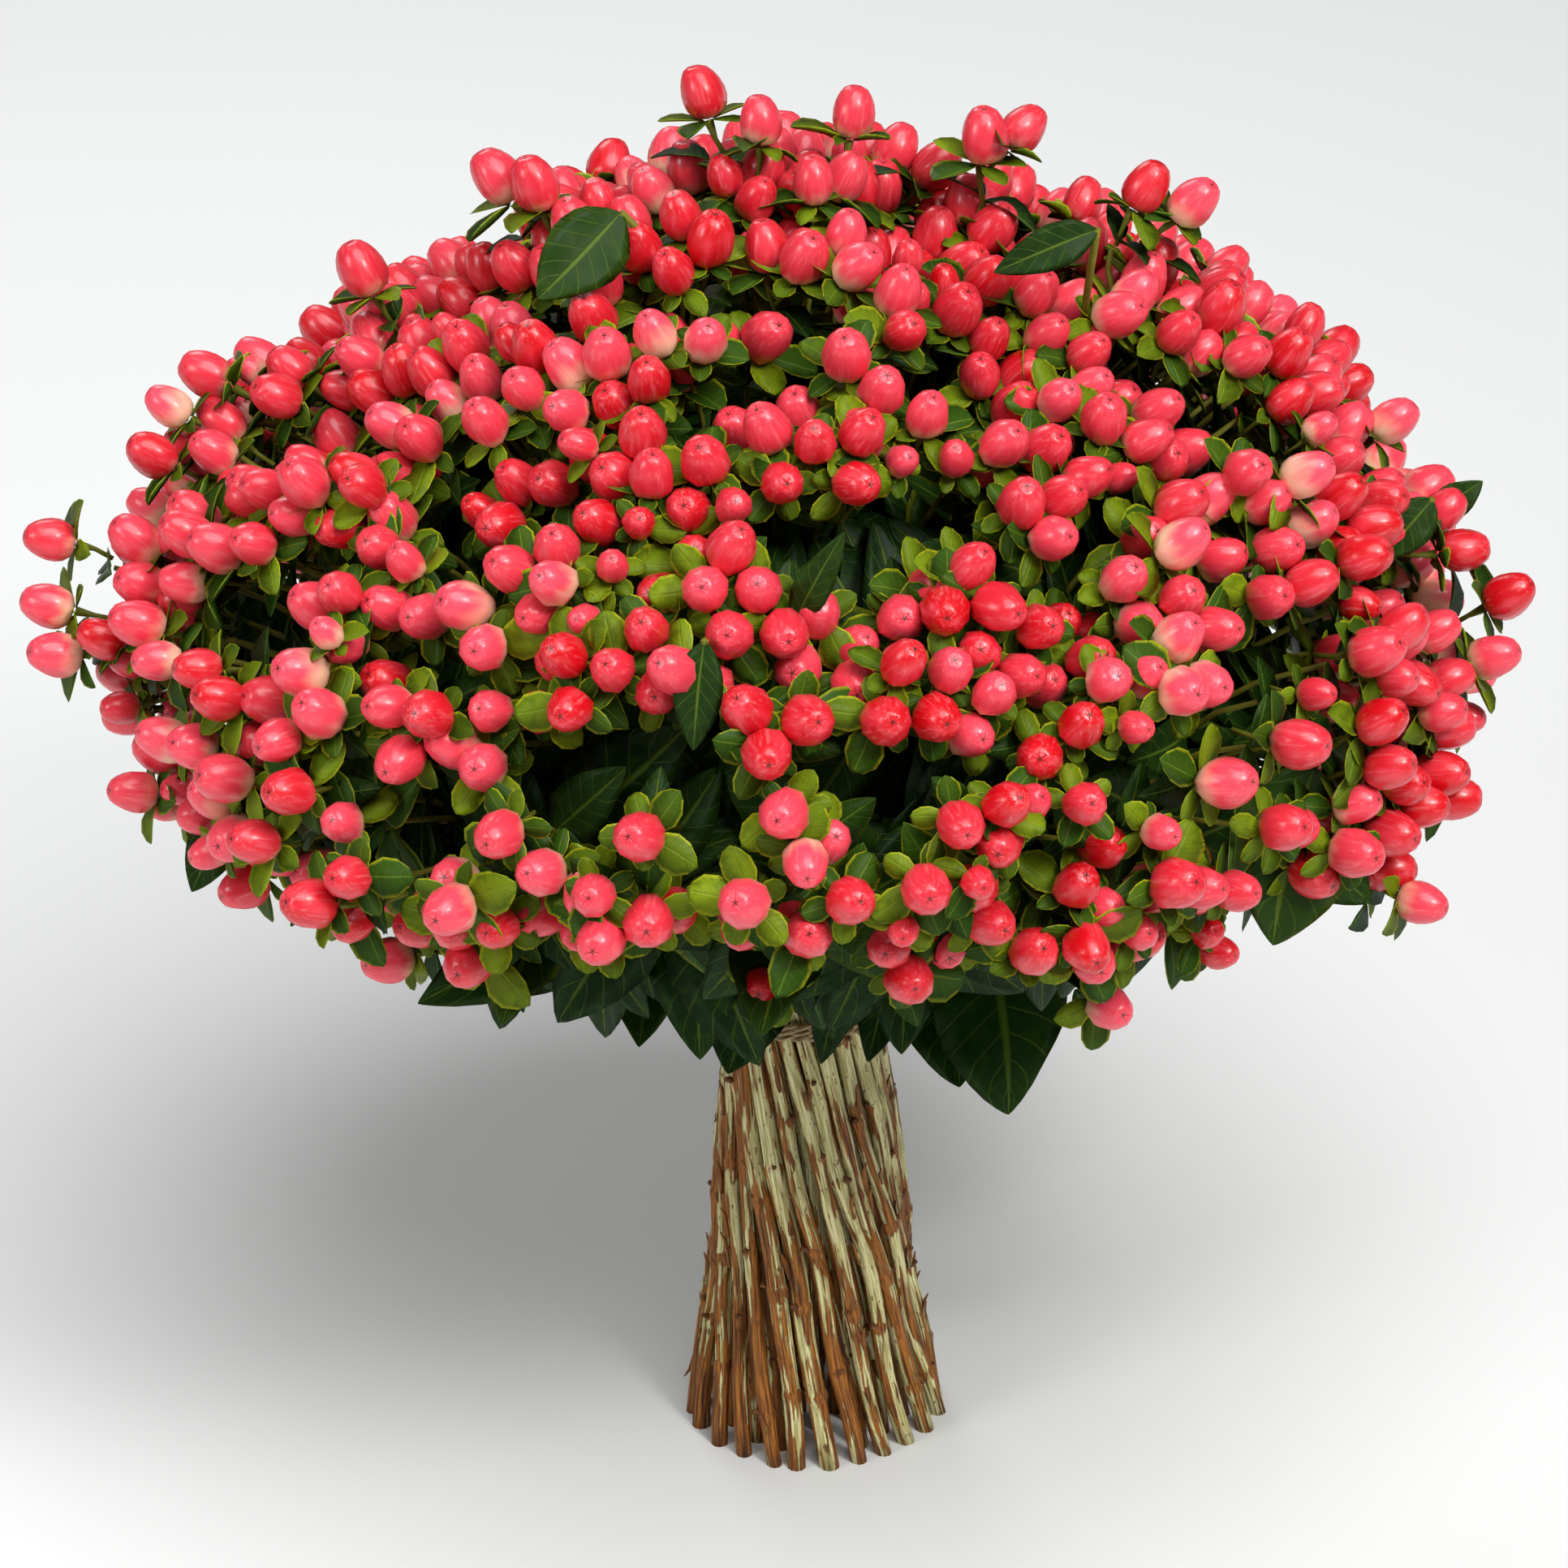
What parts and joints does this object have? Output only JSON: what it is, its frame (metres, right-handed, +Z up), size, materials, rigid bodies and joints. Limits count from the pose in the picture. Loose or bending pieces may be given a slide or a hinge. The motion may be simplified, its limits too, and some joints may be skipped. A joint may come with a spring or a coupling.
{
  "type": "hypericum berry bouquet",
  "caption": "Hand-tied spiral bunch of hypericum stems that stands on its cut ends, with a domed head of glossy ovoid berries, small bracts and large drooping leaves",
  "frame": {"origin": "on the surface that the bunch stands on, under the middle of its bounding box", "axes": "+Z is up, along the bunch's height, its longest extent; the picture's camera looks along +Y and down"},
  "size_m": [0.4031, 0.4152, 0.4159],
  "materials": {
    "leafy_stem": "matte",
    "leaf": "satin",
    "berry": "gloss",
    "twine": "matte"
  },
  "bodies": {
    "root": {"stem_01": "leafy_stem", "stem_02": "leafy_stem", "stem_03": "leafy_stem", "stem_04": "leafy_stem", "stem_05": "leafy_stem", "stem_06": "leafy_stem", "stem_07": "leafy_stem", "stem_08": "leafy_stem", "stem_09": "leafy_stem", "stem_10": "leafy_stem", "stem_11": "leafy_stem", "stem_12": "leafy_stem", "stem_13": "leafy_stem", "stem_14": "leafy_stem", "stem_15": "leafy_stem", "stem_16": "leafy_stem", "stem_17": "leafy_stem", "stem_18": "leafy_stem", "stem_19": "leafy_stem", "stem_20": "leafy_stem", "stem_21": "leafy_stem", "stem_22": "leafy_stem", "stem_23": "leafy_stem", "stem_24": "leafy_stem", "stem_25": "leafy_stem", "stem_26": "leafy_stem", "stem_27": "leafy_stem", "stem_28": "leafy_stem", "stem_29": "leafy_stem", "stem_30": "leafy_stem", "stem_31": "leafy_stem", "stem_32": "leafy_stem", "stem_33": "leafy_stem", "stem_34": "leafy_stem", "stem_35": "leafy_stem", "stem_36": "leafy_stem", "stem_37": "leafy_stem", "stem_38": "leafy_stem", "stem_39": "leafy_stem", "stem_40": "leafy_stem", "stem_41": "leafy_stem", "stem_42": "leafy_stem", "stem_43": "leafy_stem", "stem_44": "leafy_stem", "stem_45": "leafy_stem", "stem_46": "leafy_stem", "stem_47": "leafy_stem", "stem_48": "leafy_stem", "stem_49": "leafy_stem", "stem_50": "leafy_stem", "stem_51": "leafy_stem", "stem_52": "leafy_stem", "stem_53": "leafy_stem", "stem_54": "leafy_stem", "stem_55": "leafy_stem", "stem_56": "leafy_stem", "stem_57": "leafy_stem", "binding_tie": "twine"}
  },
  "joints": []
}
